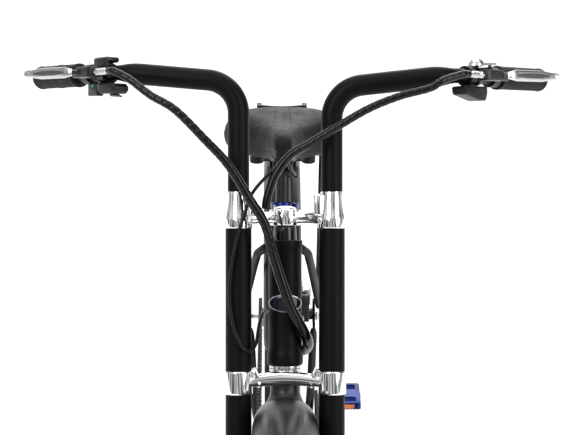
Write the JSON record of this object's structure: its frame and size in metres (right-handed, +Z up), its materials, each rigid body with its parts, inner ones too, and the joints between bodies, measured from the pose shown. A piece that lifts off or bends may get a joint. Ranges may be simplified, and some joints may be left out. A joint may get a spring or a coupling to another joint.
{
  "type": "electric cruiser bike",
  "caption": "Electric cruiser bike with a double crown fork, split swept bars, hub motor, rack battery, fenders, disc brakes and centre stand, all on real joints.",
  "frame": {"origin": "on the ground in the bike's centre plane, halfway between the two axles", "axes": "+Z up, -Y forwards, +X towards the rider's left hand"},
  "size_m": [0.8264, 1.876, 1.1493],
  "materials": {
    "frame_paint": "matt black paint",
    "fender_paint": "satin graphite paint",
    "polished_aluminium": "polished",
    "silver_steel": "satin silver",
    "black_metal": "black anodised",
    "blue_anodised": "blue anodised",
    "black_plastic": "fine grained",
    "grip_rubber": "ribbed",
    "tyre_rubber": "treaded",
    "saddle_cover": "soft black cover",
    "cable_housing": "glossy"
  },
  "bodies": {
    "frame": {"head_tube": "frame_paint", "headset_upper": "black_metal", "headset_lower": "silver_steel", "top_tube": "frame_paint", "down_tube": "frame_paint", "seat_tube": "frame_paint", "chain_stay_left": "frame_paint", "chain_stay_right": "frame_paint", "seat_stays": "frame_paint", "seat_clamp": "blue_anodised", "rear_fender": "fender_paint", "rear_rack": "black_metal", "rear_axle": "silver_steel", "rear_caliper": "black_metal", "chain": "silver_steel"},
    "fork": {"upper_crown": "polished_aluminium", "lower_crown": "polished_aluminium", "fork_leg_left": "frame_paint", "fork_leg_right": "frame_paint", "handlebar_left": "frame_paint", "handlebar_right": "frame_paint", "front_fender": "fender_paint", "front_axle": "silver_steel", "front_caliper": "black_metal", "grip_left": "grip_rubber", "grip_right": "grip_rubber", "brake_perch_left": "black_metal", "brake_perch_right": "black_metal", "assist_pod": "black_plastic", "switch_pod": "black_plastic", "bell": "polished_aluminium", "main_harness": "cable_housing", "left_harness": "cable_housing"},
    "front_wheel": {"front_tyre": "tyre_rubber", "front_rim": "black_metal", "front_hub": "black_metal", "front_rotor": "silver_steel"},
    "rear_wheel": {"rear_tyre": "tyre_rubber", "rear_rim": "black_metal", "rear_hub_motor": "black_metal", "rear_rotor": "silver_steel"},
    "freewheel": {"freewheel": "silver_steel"},
    "cranks": {"crank_left": "black_metal", "crank_right": "black_metal"},
    "pedal_left": {"pedal_left": "blue_anodised"},
    "pedal_right": {"pedal_right": "blue_anodised"},
    "brake_lever_left": {"brake_lever_left": "silver_steel"},
    "brake_lever_right": {"brake_lever_right": "silver_steel"},
    "front_caliper_arm": {"front_caliper_arm": "silver_steel"},
    "rear_caliper_arm": {"rear_caliper_arm": "silver_steel"},
    "throttle": {"throttle_grip": "grip_rubber"},
    "assist_lever": {"assist_lever": "black_plastic"},
    "bell_striker": {"bell_striker": "polished_aluminium"},
    "switch_button": {"switch_button": "grip_rubber"},
    "centre_stand": {"centre_stand": "black_metal"},
    "seat": {"seat_post": "black_metal", "saddle_frame": "black_plastic", "saddle_cushion": "saddle_cover"},
    "seat_clamp_lever": {"seat_clamp_lever": "blue_anodised"},
    "battery": {"battery": "black_plastic"}
  },
  "joints": [
    {"name": "steering", "type": "hinge", "parent": "frame", "child": "fork", "pos_m": [0, -0.32337, 0.92261], "axis": [0, 0.3584, 0.9336], "range_deg": [-40, 40], "deforming": ["main_harness", "left_harness"]},
    {"name": "front_wheel_spin", "type": "hinge", "parent": "fork", "child": "front_wheel", "pos_m": [0, -0.59, 0.348], "axis": [1, 0, 0], "continuous": true},
    {"name": "rear_wheel_spin", "type": "hinge", "parent": "frame", "child": "rear_wheel", "pos_m": [0, 0.59, 0.348], "axis": [1, 0, 0], "continuous": true},
    {"name": "crank_spin", "type": "hinge", "parent": "frame", "child": "cranks", "pos_m": [0, 0.1, 0.29], "axis": [1, 0, 0], "continuous": true},
    {"name": "freewheel_spin", "type": "hinge", "parent": "frame", "child": "freewheel", "pos_m": [0, 0.59, 0.348], "axis": [1, 0, 0], "continuous": true},
    {"name": "pedal_left_spin", "type": "hinge", "parent": "cranks", "child": "pedal_left", "pos_m": [0, 0.26676, 0.32302], "axis": [1, 0, 0], "continuous": true},
    {"name": "pedal_right_spin", "type": "hinge", "parent": "cranks", "child": "pedal_right", "pos_m": [0, -0.06676, 0.25698], "axis": [1, 0, 0], "continuous": true},
    {"name": "brake_lever_left_pull", "type": "hinge", "parent": "fork", "child": "brake_lever_left", "pos_m": [0.31987, -0.2392, 1.11863], "axis": [-0.0225, 0.3331, 0.9426], "range_deg": [0, 18], "stiffness_Nm_per_rad": 0.6, "springref_deg": -11.46},
    {"name": "brake_lever_right_pull", "type": "hinge", "parent": "fork", "child": "brake_lever_right", "pos_m": [-0.3045, -0.23381, 1.12117], "axis": [-0.0202, -0.3315, -0.9432], "range_deg": [0, 18], "stiffness_Nm_per_rad": 0.6, "springref_deg": -11.46},
    {"name": "front_caliper_pull", "type": "hinge", "parent": "fork", "child": "front_caliper_arm", "pos_m": [0.0588, -0.50825, 0.38517], "axis": [1, 0, 0], "range_deg": [0, 14]},
    {"name": "rear_caliper_pull", "type": "hinge", "parent": "frame", "child": "rear_caliper_arm", "pos_m": [0.0569, 0.54, 0.404], "axis": [1, 0, 0], "range_deg": [0, 14]},
    {"name": "throttle_twist", "type": "hinge", "parent": "fork", "child": "throttle", "pos_m": [-0.24441, -0.25882, 1.12867], "axis": [-0.5775, 0.774, -0.2596], "range_deg": [0, 60], "stiffness_Nm_per_rad": 0.15, "springref_deg": -17.19},
    {"name": "assist_lever_push", "type": "hinge", "parent": "fork", "child": "assist_lever", "pos_m": [-0.25296, -0.26579, 1.0961], "axis": [0.0202, 0.3315, 0.9432], "range_deg": [0, 18], "stiffness_Nm_per_rad": 0.1, "springref_deg": -17.19},
    {"name": "bell_striker_flick", "type": "hinge", "parent": "fork", "child": "bell_striker", "pos_m": [0.30679, -0.2382, 1.13653], "axis": [0.0225, -0.3331, -0.9426], "range_deg": [0, 22], "stiffness_Nm_per_rad": 0.05, "springref_deg": -17.19},
    {"name": "switch_button_press", "type": "slide", "parent": "fork", "child": "switch_button", "axis": [0.766, -0.6001, 0.2304], "range_m": [0, 0.002], "stiffness_N_per_m": 400, "springref_m": -0.001},
    {"name": "centre_stand_fold", "type": "hinge", "parent": "frame", "child": "centre_stand", "pos_m": [0, 0.185, 0.205], "axis": [1, 0, 0], "range_deg": [0, 85]},
    {"name": "seat_height", "type": "slide", "parent": "frame", "child": "seat", "axis": [0, 0.3207, 0.9472], "range_m": [0, 0.12]},
    {"name": "seat_clamp_lever_open", "type": "hinge", "parent": "frame", "child": "seat_clamp_lever", "pos_m": [0.0138, 0.27522, 0.71707], "axis": [0, 0.3207, 0.9472], "range_deg": [0, 150]},
    {"name": "battery_slide", "type": "slide", "parent": "frame", "child": "battery", "axis": [0, 1, 0], "range_m": [0, 0.24]}
  ],
  "couplings": [
    {"joint": "freewheel_spin", "follows": "crank_spin", "ratio": 2.0833},
    {"joint": "front_caliper_pull", "follows": "brake_lever_left_pull", "ratio": 0.75},
    {"joint": "rear_caliper_pull", "follows": "brake_lever_right_pull", "ratio": 0.75}
  ]
}
